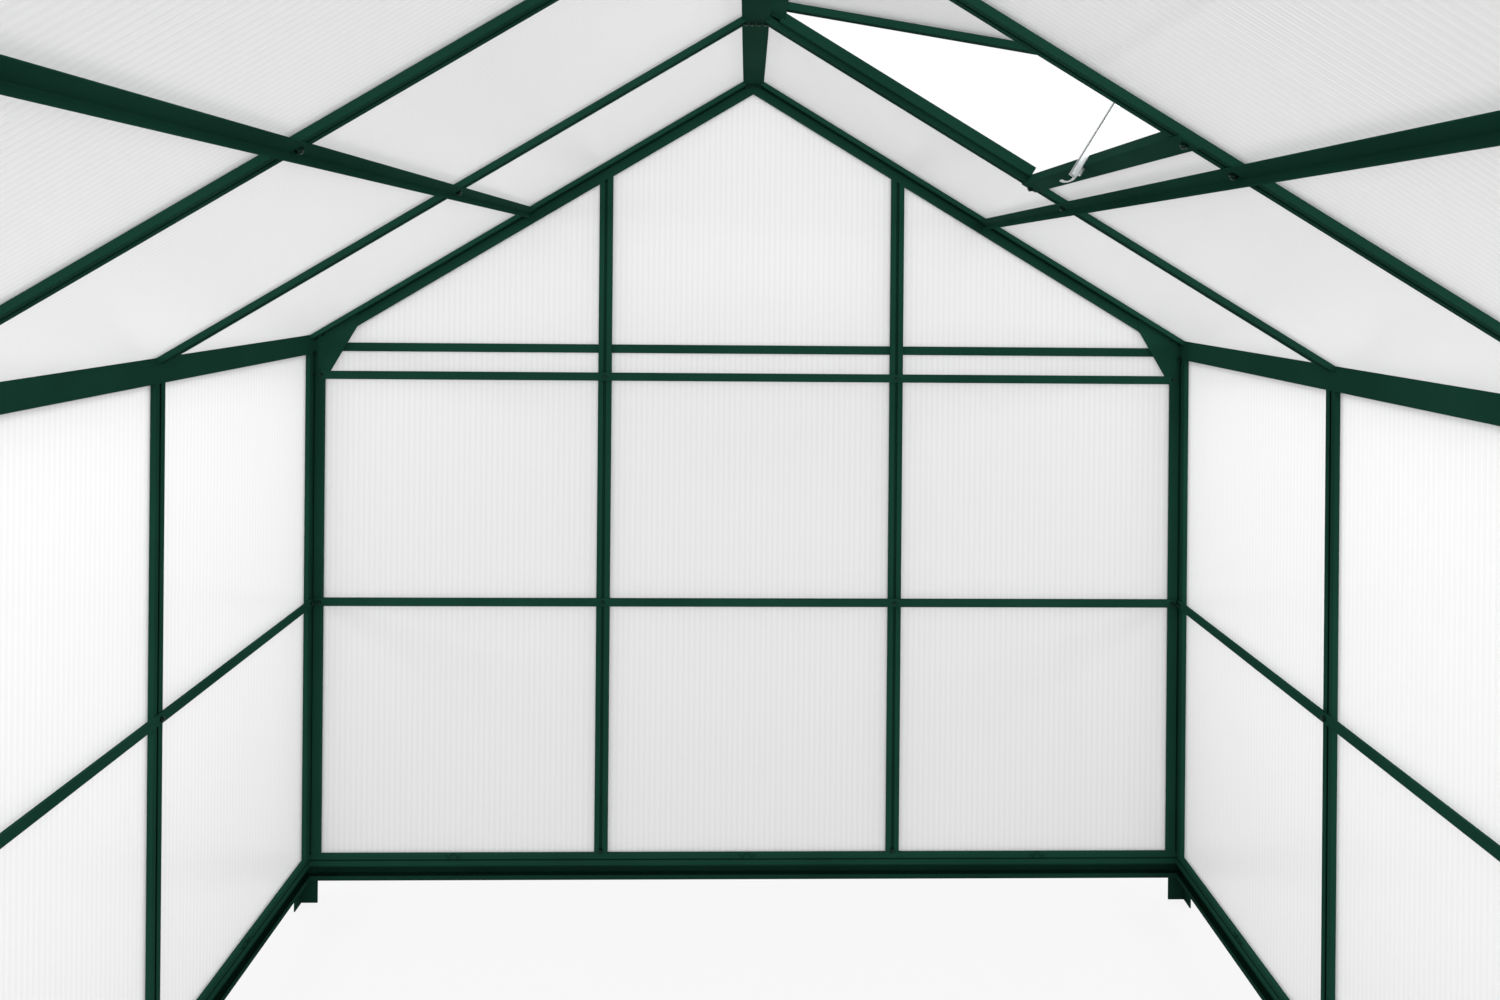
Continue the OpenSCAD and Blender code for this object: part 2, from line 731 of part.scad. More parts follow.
module vent_sash_rails() {
  half = sash_half - sash_face;
  green() on_sash() {
    difference() {
      union() {
        translate([-half, sash_low, -sash_face - hinge_r]) cube([2 * half, sash_t, sash_face]);
        translate([-half, 0, 0]) rotate([0, 90, 0]) cylinder(r = hinge_r, h = 2 * half, $fn = 24);
        translate([-half, sash_low, -hinge_r - over]) cube([2 * half, hinge_r, hinge_r + over]);
      }
      translate([-half - over, sash_groove_y, -sash_face - hinge_r - over])
        cube([2 * half + 2 * over, groove, sash_face / 2 + over]);
    }
    difference() {
      translate([-half, sash_low, -sash_l]) cube([2 * half, sash_t, sash_face]);
      translate([-half - over, sash_groove_y, -sash_l + sash_face / 2])
        cube([2 * half + 2 * over, groove, sash_face / 2 + over]);
    }
  }
}
module vent_sheet() {
  half = sash_half - sash_face / 2 - edge_gap;
  foot = -sash_l + sash_face / 2 + edge_gap;
  top = -hinge_r - sash_face / 2 - edge_gap;
  sheet_white() on_sash()
    translate([-half, sash_low + sash_seat, foot]) cube([2 * half, sheet_t, top - foot]);
}

// Stay from the foot rail of the sash down past the vent sill: a small channel with a curled foot.
stay_fall = roof_pitch - vent_open;
stay_top_x = hinge_x + (sash_l - sash_face / 2) * cos(stay_fall) + sash_low * sin(stay_fall);
stay_top_z = ridge_z - hinge_x * tp + (out + wing_t + hinge_r) / cp
  - (sash_l - sash_face / 2) * sin(stay_fall) + sash_low * cos(stay_fall);
sill_edge_v = -bar_depth - vent_sill_t;
sill_edge_x = wx - (vent_w + vent_sill_t) * cp + sill_edge_v * sp;
sill_edge_z = eave_z + (vent_w + vent_sill_t) * sp + sill_edge_v * cp;
stay_lean = atan2(stay_top_x - sill_edge_x, stay_top_z - sill_edge_z);
module stay_channel() {
  run = stay_l + stay_d;
  translate([-stay_d, 0, -stay_l]) difference() {
    cube([stay_d, stay_w, run]);
    translate([-over, stay_t, -over]) cube([stay_d - stay_t + over, stay_w - 2 * stay_t, run + 2 * over]);
    for (k = [1 : stay_holes]) translate([0, stay_w / 2, k * stay_pitch])
      rotate([0, 90, 0]) cylinder(d = stay_hole, h = stay_d + over, $fn = 24);
  }
}
module stay_foot() {
  translate([-stay_curl, 0, -stay_l]) intersection() {
    rotate([-90, 0, 0]) difference() {
      cylinder(r = stay_curl, h = stay_w, $fn = 48);
      translate([0, 0, -over]) cylinder(r = stay_curl - stay_t, h = stay_w + 2 * over, $fn = 48);
    }
    translate([0, -over, -stay_curl - over]) cube([stay_curl + over, stay_w + 2 * over, stay_curl + over]);
  }
}
module vent_stay() {
  bare_metal() difference() {
    translate([stay_top_x, vent_y - stay_w / 2, stay_top_z]) rotate([0, stay_lean, 0]) {
      stay_channel();
      stay_foot();
    }
    on_sash() translate([-far / 2, sash_low, -far / 2]) cube(far);
  }
}

// Sliding door, parked open over the right front bay.
track_x0 = -mullion_x - bar_face / 2 - door_lap;
module door_track() {
  run = leaf_x1 + track_over - track_x0;
  green() translate([track_x0, face_y, track_z]) {
    translate([0, -track_t, 0]) cube([run, track_t, track_h]);
    translate([0, -track_reach, 0]) cube([run, track_reach, track_t]);
    translate([0, -track_reach, 0]) cube([run, track_t, track_t + track_lip]);
  }
}
module track_strut() {
  green() translate([wx - leg + edge_gap, face_y - strut_t, beam_z - strut_lap])
    cube([strut_w, strut_t, track_z - beam_z + strut_lap]);
}
module door_guide() {
  base_face = yf - base_out;
  front = yf - door_front;
  run = leaf_x1 + track_over - track_x0;
  green() {
    translate([track_x0, front, guide_top - guide_t]) cube([run, base_face - front, guide_t]);
    translate([track_x0, front, guide_top - guide_t]) cube([run, guide_t, guide_t + guide_lip]);
    translate([track_x0, base_face - guide_t, guide_top - guide_t])
      cube([run, guide_t, stake_drop + base_h - guide_top + guide_t]);
  }
}
leaf_y = face_y - leaf_off;
leaf_mid_z = (leaf_z0 + leaf_z1) / 2;
groove_y = leaf_y - leaf_t / 2 - groove / 2;
module door_stiles() {
  green() for (x = [leaf_x0, leaf_x1 - leaf_face]) difference() {
    translate([x, leaf_y - leaf_t, leaf_z0]) cube([leaf_face, leaf_t, leaf_z1 - leaf_z0]);
    translate([x == leaf_x0 ? leaf_x0 + leaf_face - leaf_groove : leaf_x1 - leaf_face - over,
      groove_y, leaf_z0 - over])
      cube([leaf_groove + over, groove, leaf_z1 - leaf_z0 + 2 * over]);
  }
}
module leaf_rail(z, up, down) {
  run = leaf_w - 2 * leaf_face;
  difference() {
    translate([leaf_x0 + leaf_face, leaf_y - leaf_t, z]) cube([run, leaf_t, leaf_face]);
    if (up) translate([leaf_x0 + leaf_face - over, groove_y, z + leaf_face - leaf_groove])
      cube([run + 2 * over, groove, leaf_groove + over]);
    if (down) translate([leaf_x0 + leaf_face - over, groove_y, z - over])
      cube([run + 2 * over, groove, leaf_groove + over]);
  }
}
module door_rails() {
  green() {
    leaf_rail(leaf_z0, true, false);
    leaf_rail(leaf_mid_z - leaf_face / 2, true, true);
    leaf_rail(leaf_z1 - leaf_face, false, true);
  }
}
module door_sheets() {
  side = leaf_face - leaf_groove + edge_gap;
  low = leaf_z0 + side;
  high = leaf_mid_z - leaf_face / 2 + leaf_groove - edge_gap;
  sheet_white() for (z = [low, leaf_mid_z + leaf_face / 2 - leaf_groove + edge_gap])
    translate([leaf_x0 + side, leaf_y - leaf_t / 2 - sheet_t / 2, z])
      cube([leaf_w - 2 * side, sheet_t, high - low]);
}
roller_z = track_z + track_t + track_lip + roller_r;
roller_y = face_y - track_reach + track_t / 2;
module each_hanger() {
  for (x = [leaf_x0 + hanger_in, leaf_x1 - hanger_in]) translate([x, 0, 0]) children();
}
module door_hangers() {
  top = roller_z + roller_r;
  foot = leaf_z1 - leaf_face;
  green() each_hanger() {
    translate([-hanger_w / 2, leaf_y - leaf_t - hanger_t, foot])
      cube([hanger_w, hanger_t, top - foot]);
    translate([0, leaf_y - leaf_t, roller_z]) rotate([-90, 0, 0])
      cylinder(d = axle_d, h = leaf_t + leaf_off - roller_t, $fn = 24);
  }
}
module door_rollers() {
  black_nylon() each_hanger() translate([0, roller_y + roller_t / 2, roller_z]) rotate([90, 0, 0])
    difference() {
      cylinder(r = roller_r, h = roller_t, $fn = 48);
      translate([0, 0, -over]) cylinder(d = axle_d, h = roller_t + 2 * over, $fn = 24);
    }
}

base_channels_gable();
base_channels_side();
corner_stakes();
sills_gable();
sills_side();
corner_posts();
back_mullions();
door_jambs();
left_studs();
right_studs();
back_rafters();
front_rafters();
ridge_beam();
eave_beam_left();
eave_beam_right();
left_roof_bars();
right_roof_bars();
roof_purlins();
side_girts();
back_rails();
front_rails();
back_joint_strips();
front_joint_strips();
door_head();
eave_gussets();
back_wall_sheets();
back_gable_sheets();
front_wall_sheets();
front_gable_sheets();
left_wall_sheets();
right_wall_sheets();
left_roof_sheets();
right_roof_sheets();
vent_sill();
vent_curbs();
vent_sash_stiles();
vent_sash_rails();
vent_sheet();
vent_stay();
door_track();
track_strut();
door_guide();
door_stiles();
door_rails();
door_sheets();
door_hangers();
door_rollers();
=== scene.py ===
# %% [markdown]
# # A polycarbonate greenhouse, seen from just inside its doorway
# The CAD frame brings every bar, rail and sheet at its real size, in metres, with +Z up and +Y towards
# the back gable. This lesson adds what the CAD leaves out: the fluted inside of the sheets, the nuts and
# clips that hold the house together, the finish of every surface, the light and the camera.

# %% Load the frame
import json
import math

import bmesh
import bpy
import numpy as np
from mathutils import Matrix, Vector


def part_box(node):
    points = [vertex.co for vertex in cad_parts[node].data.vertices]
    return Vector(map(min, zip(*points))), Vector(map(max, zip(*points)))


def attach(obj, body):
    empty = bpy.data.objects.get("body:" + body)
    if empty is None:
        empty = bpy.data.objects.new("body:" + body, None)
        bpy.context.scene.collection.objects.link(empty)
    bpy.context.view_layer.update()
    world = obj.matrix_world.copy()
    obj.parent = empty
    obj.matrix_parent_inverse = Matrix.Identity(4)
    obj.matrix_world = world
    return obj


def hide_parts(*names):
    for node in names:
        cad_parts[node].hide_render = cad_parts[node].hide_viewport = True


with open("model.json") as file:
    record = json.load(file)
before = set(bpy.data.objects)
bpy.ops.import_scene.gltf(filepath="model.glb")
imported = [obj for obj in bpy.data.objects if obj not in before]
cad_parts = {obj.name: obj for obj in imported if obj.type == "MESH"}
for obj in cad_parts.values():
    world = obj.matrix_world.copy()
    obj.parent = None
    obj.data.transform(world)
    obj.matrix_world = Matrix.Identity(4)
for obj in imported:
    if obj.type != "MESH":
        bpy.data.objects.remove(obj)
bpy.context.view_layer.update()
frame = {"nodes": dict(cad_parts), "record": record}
nodes = frame["nodes"]
MM = 0.001

# %% [markdown]
# ## Measures from the frame
# A builder measures the frame before ordering bolts. The planes of the sheets, the lines of the bars and
# the heights of the rails are all read from the boxes of the CAD nodes, so every piece that is added
# later follows the frame by itself.

# %% Measure the frame
BAR_FACE = 27.5 * MM
RAIL_HEIGHT = 17 * MM
ROOF_PITCH = math.radians(31)
SIDE_BAYS = 4
SHEET_THICKNESS = 4 * MM

wall_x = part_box("right_wall_sheets")[0].x
back_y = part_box("back_wall_sheets")[0].y
front_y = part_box("front_wall_sheets")[1].y
bar_depth = wall_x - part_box("right_studs")[0].x
mullion_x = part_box("back_mullions")[1].x - BAR_FACE / 2
bay = (back_y - front_y) / SIDE_BAYS
bar_lines = [back_y - k * bay for k in range(1, SIDE_BAYS)]
ridge_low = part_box("ridge_beam")[0].z
mid_rail_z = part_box("back_rails")[0].z + RAIL_HEIGHT / 2
collar_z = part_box("back_rails")[1].z - RAIL_HEIGHT / 2
rail_face = back_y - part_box("back_rails")[0].y
up_slope = Vector((-math.cos(ROOF_PITCH), 0, math.sin(ROOF_PITCH)))
roof_out = Vector((math.sin(ROOF_PITCH), 0, math.cos(ROOF_PITCH)))
print(f"bay {bay:.4f} m, mullions at {mullion_x:.4f} m, bars at {[round(y, 3) for y in bar_lines]}")

# %% [markdown]
# ## The camera
# The picture was taken from the doorway with the camera held level, so upright bars stay upright and the
# horizon sits high in the frame. A level camera with a vertical shift does the same thing; tilting it
# would make the posts lean together. Nobody holds a camera perfectly: this one is turned a degree to the
# right and rolled by half a degree, which measured lines of the picture show.

# %% Camera
SENSOR = 36.0
FRAME_WIDTH_PX = 1500
FOCAL_PX = 1110
AXIS_X_PX = 772
HORIZON_SHARE = 0.154
CAMERA_TO_BACK = 2.35
CAMERA_X = -0.010
CAMERA_Z = 1.349
CAMERA_TURN = math.radians(-1.28)
CAMERA_ROLL = math.radians(-0.5)

camera_data = bpy.data.cameras.new("doorway_camera")
camera_data.sensor_width = SENSOR
camera_data.lens = SENSOR * FOCAL_PX / FRAME_WIDTH_PX
camera_data.shift_x = 0.5 - AXIS_X_PX / FRAME_WIDTH_PX
camera_data.shift_y = -HORIZON_SHARE
camera_data.clip_start = 0.01
camera = bpy.data.objects.new("doorway_camera", camera_data)
camera.location = (CAMERA_X, back_y - CAMERA_TO_BACK, CAMERA_Z)
camera.rotation_euler = (math.pi / 2, CAMERA_ROLL, CAMERA_TURN)
bpy.context.scene.collection.objects.link(camera)
bpy.context.scene.camera = camera
print("camera at", tuple(camera.location), "lens", round(camera_data.lens, 2), "mm")

# %% [markdown]
# ## Colours and nodes
# Colours are written as sRGB hex values, the way a paint chart gives them, and one function turns them
# into the linear values that the renderer works with. Materials are trees of nodes, so a second small
# function adds a node, sets it and links it in one line. No real surface is even: a noise of a real size,
# fixed to the object, lets the gloss of each material wander a little.

# %% Helpers for materials
NOISE_LOW, NOISE_HIGH = 0.3, 0.7


def linear(hex_colour):
    """An sRGB hex value as linear RGBA."""
    channels = [int(hex_colour[i:i + 2], 16) / 255 for i in (1, 3, 5)]
    return [c / 12.92 if c <= 0.04045 else ((c + 0.055) / 1.055) ** 2.4 for c in channels] + [1.0]


def add_node(tree, kind, inputs=None, **settings):
    """A node of a kind with its settings, and each input either linked to a socket or set to a value."""
    made = tree.nodes.new(kind)
    for name, value in settings.items():
        setattr(made, name, value)
    for name, value in (inputs or {}).items():
        if isinstance(value, bpy.types.NodeSocket):
            tree.links.new(value, made.inputs[name])
        else:
            made.inputs[name].default_value = value
    return made


def new_material(name):
    """An empty material, its node tree and its output node."""
    material = bpy.data.materials.new(name)
    material.use_nodes = True
    material.node_tree.nodes.clear()
    return material, material.node_tree, material.node_tree.nodes.new("ShaderNodeOutputMaterial")


def noise_of_size(tree, size, detail):
    """Noise with features of a real size, fixed to the object."""
    place = add_node(tree, "ShaderNodeTexCoord")
    noise = add_node(tree, "ShaderNodeTexNoise", {
        "Vector": place.outputs["Object"], "Scale": 1 / size, "Detail": detail})
    return noise.outputs["Fac"]


def gloss_from(tree, noise, low_high):
    """A roughness that follows a noise from a low to a high value."""
    gloss = add_node(tree, "ShaderNodeMapRange", {
        "Value": noise, "From Min": NOISE_LOW, "From Max": NOISE_HIGH,
        "To Min": low_high[0], "To Max": low_high[1]})
    return gloss.outputs["Result"]


print("white is", [round(c, 2) for c in linear("#ffffff")])

# %% [markdown]
# ## Powder-coated aluminium
# The bars are aluminium extrusions, sprayed with dry paint powder and baked. That gives a dark green
# skin that covers the metal completely, so it isn't metallic. This one is a fine matt coat: it keeps its
# dark green even along the line of sight, where a glossy coat would mirror the sheets, so its shine is
# set far under the usual half. The faint ripple that painters call orange peel is about a millimetre
# wide; it is drawn here at four millimetres, because anything finer is smaller than a pixel from the
# doorway. The base is steel with the same coat, a shade darker.

# %% Powder coat
COAT_RIPPLE = 4 * MM
COAT_RIPPLE_HEIGHT = 0.05 * MM
COAT_RIPPLE_STRENGTH = 0.35
COAT_CLOUD = 220 * MM
COAT_CLOUD_EDGES = (0.35, 0.65)
COAT_SHINE = 0.002


def powder_coat(name, greens, gloss):
    """Baked paint: two close greens in broad clouds, a matt gloss that varies a little, a fine ripple."""
    material, tree, output = new_material(name)
    cloud = noise_of_size(tree, COAT_CLOUD, 3.0)
    colour = add_node(tree, "ShaderNodeValToRGB", {"Fac": cloud})
    for element, edge, green in zip(colour.color_ramp.elements, COAT_CLOUD_EDGES, greens):
        element.position = edge
        element.color = linear(green)
    bump = add_node(tree, "ShaderNodeBump", {
        "Height": noise_of_size(tree, COAT_RIPPLE, 1.0),
        "Strength": COAT_RIPPLE_STRENGTH, "Distance": COAT_RIPPLE_HEIGHT})
    paint = add_node(tree, "ShaderNodeBsdfPrincipled", {
        "Base Color": colour.outputs["Color"], "Roughness": gloss_from(tree, cloud, gloss),
        "Normal": bump.outputs["Normal"], "Specular IOR Level": COAT_SHINE})
    tree.links.new(paint.outputs["BSDF"], output.inputs["Surface"])
    return material


green_aluminium = powder_coat("powder_coated_aluminium", ("#1a4134", "#173b2f"), (0.55, 0.65))
green_steel = powder_coat("powder_coated_steel", ("#15372b", "#133126"), (0.6, 0.7))
print("made", green_aluminium.name, green_steel.name)

# %% [markdown]
# ## Zinc-plated steel
# The window stay and its peg are mild steel with a thin layer of zinc, left bright. Zinc is a metal, so
# its colour is in its reflections, and drawing the strip through rollers leaves faint streaks. The door's
# rollers are black nylon, which needs no grease.

# %% Zinc-plated steel and nylon
ZINC_STREAK = 3 * MM
ZINC_GLOSS = (0.34, 0.4)
NYLON_GRAIN = 2 * MM
NYLON_GLOSS = (0.38, 0.55)
NYLON_IOR = 1.53


def zinc_plated_steel():
    """Bright plated strip with faint streaks in its colour and gloss."""
    material, tree, output = new_material("zinc_plated_steel")
    streak = noise_of_size(tree, ZINC_STREAK, 2.0)
    colour = add_node(tree, "ShaderNodeValToRGB", {"Fac": streak})
    colour.color_ramp.elements[0].color = linear("#ccd0d1")
    colour.color_ramp.elements[1].color = linear("#d0d3d4")
    metal = add_node(tree, "ShaderNodeBsdfPrincipled", {
        "Base Color": colour.outputs["Color"], "Roughness": gloss_from(tree, streak, ZINC_GLOSS),
        "Metallic": 1.0})
    tree.links.new(metal.outputs["BSDF"], output.inputs["Surface"])
    return material


def moulded_nylon():
    """Black moulded rollers, a little cloudy and matt where they run."""
    material, tree, output = new_material("moulded_nylon")
    grain = noise_of_size(tree, NYLON_GRAIN, 2.0)
    plastic = add_node(tree, "ShaderNodeBsdfPrincipled", {
        "Base Color": linear("#151616"), "Roughness": gloss_from(tree, grain, NYLON_GLOSS),
        "IOR": NYLON_IOR})
    tree.links.new(plastic.outputs["BSDF"], output.inputs["Surface"])
    return material


bright_zinc = zinc_plated_steel()
black_nylon = moulded_nylon()
print("made", bright_zinc.name, black_nylon.name)

# %% [markdown]
# ## Twin-wall polycarbonate
# A sheet is extruded as two thin skins with ribs between them, so light passes but shapes behind it
# blur. It could be made as real clear plastic, but light that is bent through a dozen thin walls takes
# hours to settle. Here each of the two skins lets part of a ray straight through, scatters the rest to
# both sides and throws back a faint gloss. The ribs show as fine lines: the real pitch is 5.8 mm, and the
# lines are drawn at twice that, because the real ones are narrower than two pixels from the doorway.

# %% Polycarbonate
POLYCARBONATE_IOR = 1.58
MILKINESS = 0.82
SKIN_TINT = 0.86
RIB_TINT = 0.815
SKIN_ROUGHNESS = 0.25
FLUTE_PITCH = 5.8 * MM
DRAWN_PITCH = 2 * FLUTE_PITCH


def twin_wall_polycarbonate():
    """One skin of the sheet: part clear, part milky, with rib lines across the flutes."""
    material, tree, output = new_material("twin_wall_polycarbonate")
    place = add_node(tree, "ShaderNodeAttribute", attribute_name="across_flutes")
    turn = add_node(tree, "ShaderNodeMath", {
        0: place.outputs["Fac"], 1: 2 * math.pi / DRAWN_PITCH}, operation="MULTIPLY")
    wave = add_node(tree, "ShaderNodeMath", {0: turn.outputs["Value"]}, operation="COSINE")
    colour = add_node(tree, "ShaderNodeMapRange", {
        "Value": wave.outputs["Value"], "From Min": -1.0, "From Max": 1.0,
        "To Min": SKIN_TINT, "To Max": RIB_TINT})
    tint = add_node(tree, "ShaderNodeCombineColor", {
        channel: colour.outputs["Result"] for channel in ("Red", "Green", "Blue")})
    skin = add_node(tree, "ShaderNodeBsdfPrincipled", {
        "Base Color": tint.outputs["Color"], "Roughness": SKIN_ROUGHNESS, "IOR": POLYCARBONATE_IOR})
    scatter = add_node(tree, "ShaderNodeBsdfTranslucent", {"Color": tint.outputs["Color"]})
    milk = add_node(tree, "ShaderNodeMixShader", {
        0: 0.5, 1: skin.outputs["BSDF"], 2: scatter.outputs["BSDF"]})
    clear = add_node(tree, "ShaderNodeBsdfTransparent", {"Color": linear("#fcfcfc")})
    face = add_node(tree, "ShaderNodeMixShader", {
        0: MILKINESS, 1: clear.outputs["BSDF"], 2: milk.outputs["Shader"]})
    tree.links.new(face.outputs["Shader"], output.inputs["Surface"])
    return material


skin_sheet = twin_wall_polycarbonate()
print("made", skin_sheet.name)

# %% [markdown]
# ## Dress the CAD nodes
# Every bar and rail keeps its CAD shape. Each takes the material of its slot in the record, and a small
# bevel modifier rounds its edges as the die and the paint do, so that they catch a line of light. Light
# that runs along inside a real sheet brightens the strip under the ridge capping. These simple skins
# can't carry it, so the ridge beam throws no shade on them instead.

# %% Finish of the CAD nodes
EDGE_RADIUS = 0.4 * MM
EDGE_ANGLE = math.radians(35)
WELD_DISTANCE = 0.01 * MM
FINISH = {
    "green_aluminium": green_aluminium,
    "green_steel": green_steel,
    "stay_metal": bright_zinc,
    "nylon": black_nylon,
    "polycarbonate": skin_sheet,
}

for entry in frame["record"]["subparts"]:
    piece = nodes[entry["node"]]
    piece.data.materials.clear()
    piece.data.materials.append(FINISH[entry["material_slot"]])
    if entry["material_slot"] != "polycarbonate":
        weld = piece.modifiers.new("weld", "WELD")
        weld.merge_threshold = WELD_DISTANCE
        rounding = piece.modifiers.new("rounded_edges", "BEVEL")
        rounding.width = EDGE_RADIUS
        rounding.segments = 1
        rounding.limit_method = "ANGLE"
        rounding.angle_limit = EDGE_ANGLE
nodes["ridge_beam"].visible_shadow = False
nodes["ridge_beam"].visible_diffuse = False
nodes["ridge_beam"].visible_transmission = False

# %% [markdown]
# ## Fluted sheets
# Each CAD sheet is a plain slab. The fluted one takes its outline: the slab is measured across the
# flutes, ribs are set out at the real pitch, and every strip runs from the lower edge of the outline to
# the upper edge, so the gable sheets get their slanted tops. As on a real sheet the skin sags a trace
# between the ribs. The roof sheets end in the open above the gutters, so there the flutes are open too.

# %% Fluted sheets
SKIN_SAG = 0.15 * MM
RIB_THICKNESS = 0.7 * MM
SKIN_THICKNESS = 0.6 * MM
FLUTE_OPEN = 12 * MM


def add_piece(name, verts, faces, material):
    """A new mesh object that rides on the root body."""
    mesh = bpy.data.meshes.new(name)
    mesh.from_pydata(verts, [], faces)
    mesh.materials.append(material)
    mesh.validate()
    piece = bpy.data.objects.new(name, mesh)
    bpy.context.scene.collection.objects.link(piece)
    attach(piece, "root")
    return piece


def loose_solids(node):
    """The corner points of each separate slab of a CAD node."""
    mesh = bmesh.new()
    mesh.from_mesh(nodes[node].data)
    bmesh.ops.remove_doubles(mesh, verts=mesh.verts, dist=WELD_DISTANCE)
    waiting, solids = set(mesh.verts), []
    while waiting:
        reached, edge = set(), [next(iter(waiting))]
        while edge:
            vertex = edge.pop()
            if vertex not in reached:
                reached.add(vertex)
                edge.extend(e.other_vert(vertex) for e in vertex.link_edges)
        waiting -= reached
        solids.append(np.array([v.co[:] for v in reached]))
    mesh.free()
    return sorted(solids, key=lambda points: tuple(points.mean(axis=0).round(4)))


def chain(points, sign):
    """The upper (sign 1) or lower (sign -1) edge of a convex outline, as rising x and its y."""
    best = {}
    for x, y in points.round(5):
        best[x] = max(best.get(x, -math.inf), sign * y)
    line = []
    for point in sorted(best.items()):
        while len(line) > 1 and ((line[-1][0] - line[-2][0]) * (point[1] - line[-2][1])
                                 >= (line[-1][1] - line[-2][1]) * (point[0] - line[-2][0])):
            line.pop()
        line.append(point)
    return [p[0] for p in line], [sign * p[1] for p in line]


class FlutedSlab:
    """One fluted sheet with the outline of a slab, in its own axes: across, along and outwards."""

    def __init__(self, points, outwards, along, open_foot):
        self.axes = np.array([along.cross(outwards)[:], along[:], outwards[:]])
        local = points @ self.axes.T
        self.low, self.high = local.min(axis=0), local.max(axis=0)
        self.edges = chain(local[:, :2], -1), chain(local[:, :2], 1)
        self.flutes = round((self.high[0] - self.low[0]) / FLUTE_PITCH)
        self.pitch = (self.high[0] - self.low[0]) / self.flutes
        self.verts, self.faces = [], []
        self.lines = [self.low[0] + k * self.pitch / 2 for k in range(2 * self.flutes + 1)]
        self.rims = [[self.rim(end, inner) for inner in (True, False)] for end in (0, 1)]
        self.skins()
        self.sides()
        self.cap(1)
        if open_foot:
            self.open_cap(0)
        else:
            self.cap(0)

    def point(self, x, y, z):
        self.verts.append((x, y, z))
        return len(self.verts) - 1

    def rim(self, end, inner):
        """The edge of one skin at one end: full thickness on the ribs, a trace less between them."""
        face, sag = (self.low[2], SKIN_SAG) if inner else (self.high[2], -SKIN_SAG)
        return [self.point(x, np.interp(x, *self.edges[end]), face + (sag if k % 2 else 0))
                for k, x in enumerate(self.lines)]

    def skins(self):
        for skin, flip in ((0, True), (1, False)):
            foot, head = self.rims[0][skin], self.rims[1][skin]
            for k in range(len(foot) - 1):
                quad = [foot[k], foot[k + 1], head[k + 1], head[k]]
                self.faces.append(quad[::-1] if flip else quad)

    def sides(self):
        for k, flip in ((0, True), (-1, False)):
            quad = [self.rims[0][0][k], self.rims[1][0][k], self.rims[1][1][k], self.rims[0][1][k]]
            self.faces.append(quad[::-1] if flip else quad)

    def cap(self, end):
        inner, outer = self.rims[end]
        for k in range(len(inner) - 1):
            quad = [inner[k], inner[k + 1], outer[k + 1], outer[k]]
            self.faces.append(quad if end == 0 else quad[::-1])

    def open_cap(self, end):
        """The lower end cut open: a short square tunnel into every flute."""
        inner, outer = self.rims[end]
        walls = (self.low[2] + SKIN_THICKNESS, self.high[2] - SKIN_THICKNESS)
        mouths = []
        for k in range(self.flutes):
            left = self.lines[2 * k] + RIB_THICKNESS / 2
            right = self.lines[2 * k + 2] - RIB_THICKNESS / 2
            ring = [(left, walls[0]), (right, walls[0]), (right, walls[1]), (left, walls[1])]
            mouth = [self.point(x, np.interp(x, *self.edges[end]), z) for x, z in ring]
            floor = [self.point(x, np.interp(x, *self.edges[end]) + FLUTE_OPEN, z) for x, z in ring]
            for i in range(4):
                self.faces.append([mouth[i], mouth[(i + 1) % 4], floor[(i + 1) % 4], floor[i]])
            self.faces.append(floor)
            a, b, c = 2 * k, 2 * k + 1, 2 * k + 2
            self.faces.append([inner[a], inner[b], inner[c], mouth[1], mouth[0]])
            self.faces.append([outer[c], outer[b], outer[a], mouth[3], mouth[2]])
            mouths.append(mouth)
        self.faces.append([inner[0], mouths[0][0], mouths[0][3], outer[0]])
        self.faces.append([inner[-1], outer[-1], mouths[-1][2], mouths[-1][1]])
        for k in range(self.flutes - 1):
            rib = 2 * k + 2
            self.faces.append([inner[rib], mouths[k + 1][0], mouths[k + 1][3],
                               outer[rib], mouths[k][2], mouths[k][1]])


def fluted_sheets(node, outwards, along):
    """One piece that stands for all slabs of a CAD node."""
    verts, faces, across = [], [], []
    for points in loose_solids(node):
        slab = FlutedSlab(points, outwards, along, node.endswith("roof_sheets"))
        start = len(verts)
        across.extend(v[0] - slab.low[0] for v in slab.verts)
        verts.extend((np.array(slab.verts) @ slab.axes).tolist())
        faces.extend([start + c for c in face] for face in slab.faces)
    piece = add_piece(node.replace("sheet", "fluted_sheet"), verts, faces, skin_sheet)
    flute_place = piece.data.attributes.new("across_flutes", "FLOAT", "POINT")
    flute_place.data.foreach_set("value", across)
    piece.visible_shadow = False
    piece.visible_diffuse = False
    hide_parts(node)
    return piece


